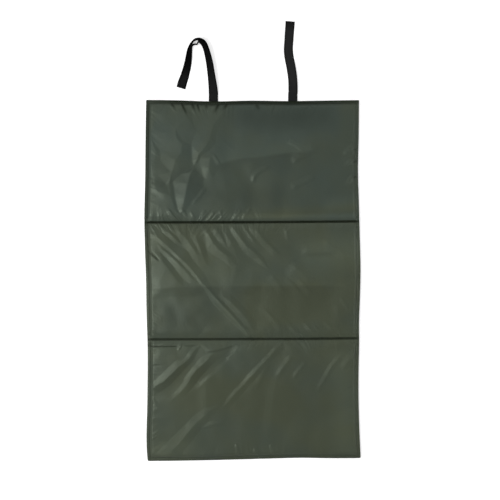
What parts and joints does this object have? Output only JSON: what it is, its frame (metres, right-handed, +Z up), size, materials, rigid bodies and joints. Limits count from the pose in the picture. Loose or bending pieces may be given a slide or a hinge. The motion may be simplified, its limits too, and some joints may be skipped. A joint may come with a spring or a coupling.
{
  "type": "unhooking mat",
  "caption": "Padded folding landing mat for fish: foam panels in olive nylon covers, bound edges, sewn folds and webbing tie straps.",
  "frame": {"origin": "on the floor, under the middle of the middle panel, in the lower cover's flat face", "axes": "+X across the mat, +Y along it towards the straps, +Z up out of the padding"},
  "size_m": [0.597, 1.2229, 0.0261],
  "materials": {
    "upper_nylon": "coated nylon, satin sheen",
    "lower_nylon": "coated nylon, matt",
    "binding": "coated nylon, folded and stitched",
    "fold": "coated nylon, stitched through",
    "foam": "closed-cell foam",
    "webbing": "woven polypropylene",
    "tape": "woven fastening tape"
  },
  "bodies": {
    "bottom_panel": {"bottom_foam": "foam", "bottom_upper_cover": "upper_nylon", "bottom_lower_cover": "lower_nylon", "bottom_binding": "binding", "bottom_fold": "fold"},
    "middle_panel": {"middle_foam": "foam", "middle_upper_cover": "upper_nylon", "middle_lower_cover": "lower_nylon", "middle_left_binding": "binding", "middle_right_binding": "binding", "top_fold": "fold"},
    "top_panel": {"top_foam": "foam", "top_upper_cover": "upper_nylon", "top_lower_cover": "lower_nylon", "top_binding": "binding", "left_strap_root": "webbing", "right_strap_root": "webbing"},
    "left_strap": {"left_strap": "webbing", "left_strap_tape": "tape"},
    "right_strap": {"right_strap": "webbing"}
  },
  "joints": [
    {"name": "bottom_fold_hinge", "type": "hinge", "parent": "bottom_panel", "child": "middle_panel", "pos_m": [0, -0.1635, 0.0148], "axis": [1, 0, 0], "range_deg": [0, 180], "deforming": ["bottom_fold"]},
    {"name": "top_fold_hinge", "type": "hinge", "parent": "middle_panel", "child": "top_panel", "pos_m": [0, 0.1635, -0.0003], "axis": [-1, 0, 0], "range_deg": [0, 180], "deforming": ["top_fold"]},
    {"name": "left_strap_swing", "type": "hinge", "parent": "top_panel", "child": "left_strap", "pos_m": [-0.11075, 0.51465, 0.00475], "axis": [1, 0, 0], "range_deg": [0, 150]},
    {"name": "right_strap_swing", "type": "hinge", "parent": "top_panel", "child": "right_strap", "pos_m": [0.11075, 0.51465, 0.00475], "axis": [1, 0, 0], "range_deg": [0, 150]}
  ]
}
